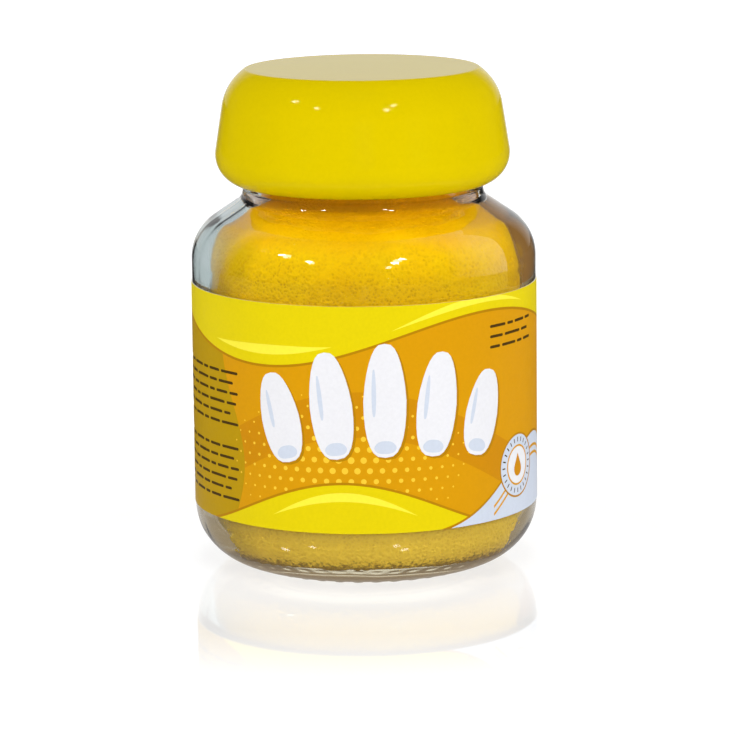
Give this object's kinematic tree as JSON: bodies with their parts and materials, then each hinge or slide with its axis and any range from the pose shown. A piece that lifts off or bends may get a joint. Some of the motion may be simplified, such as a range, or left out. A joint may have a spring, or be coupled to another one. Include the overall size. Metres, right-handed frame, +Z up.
{
  "type": "nail polish remover sponge jar",
  "caption": "Round glass jar with a rounded heel and sloping shoulder, filled by a foam sponge with a finger well, wrapped by a film label and closed by a flat-topped screw cap.",
  "frame": {"origin": "centre of the ring that the jar stands on, at the surface it stands on", "axes": "+Z up along the jar's axis, towards the cap; the label's ends meet on the +Y side, at the back"},
  "size_m": [0.0542, 0.0542, 0.0778],
  "materials": {
    "glass": "clear moulded soda-lime glass, fire polished",
    "foam": "open-cell polyurethane foam soaked with remover",
    "label_film": "printed film in golden orange with a dot pattern, bright yellow waves and a near-white band",
    "cap_yellow": "high-gloss moulded plastic, solid yellow",
    "insert_white": "moulded polypropylene, natural white",
    "liner_white": "expanded polyethylene wad with a smooth skin"
  },
  "bodies": {
    "jar": {"glass_jar": "glass", "sponge": "foam", "label": "label_film"},
    "liner": {"cap_liner": "liner_white"},
    "cap": {"cap_shell": "cap_yellow", "cap_insert": "insert_white"}
  },
  "joints": [
    {"name": "cap_lift", "type": "slide", "parent": "jar", "child": "liner", "axis": [0, 0, 1], "range_m": [0, 0.0381]},
    {"name": "cap_turn", "type": "hinge", "parent": "liner", "child": "cap", "pos_m": [0, 0, 0.06], "axis": [0, 0, 1], "range_deg": [0, 3240]}
  ],
  "couplings": [
    {"joint": "cap_lift", "follows": "cap_turn", "m_per_rad": 0.00067322}
  ]
}
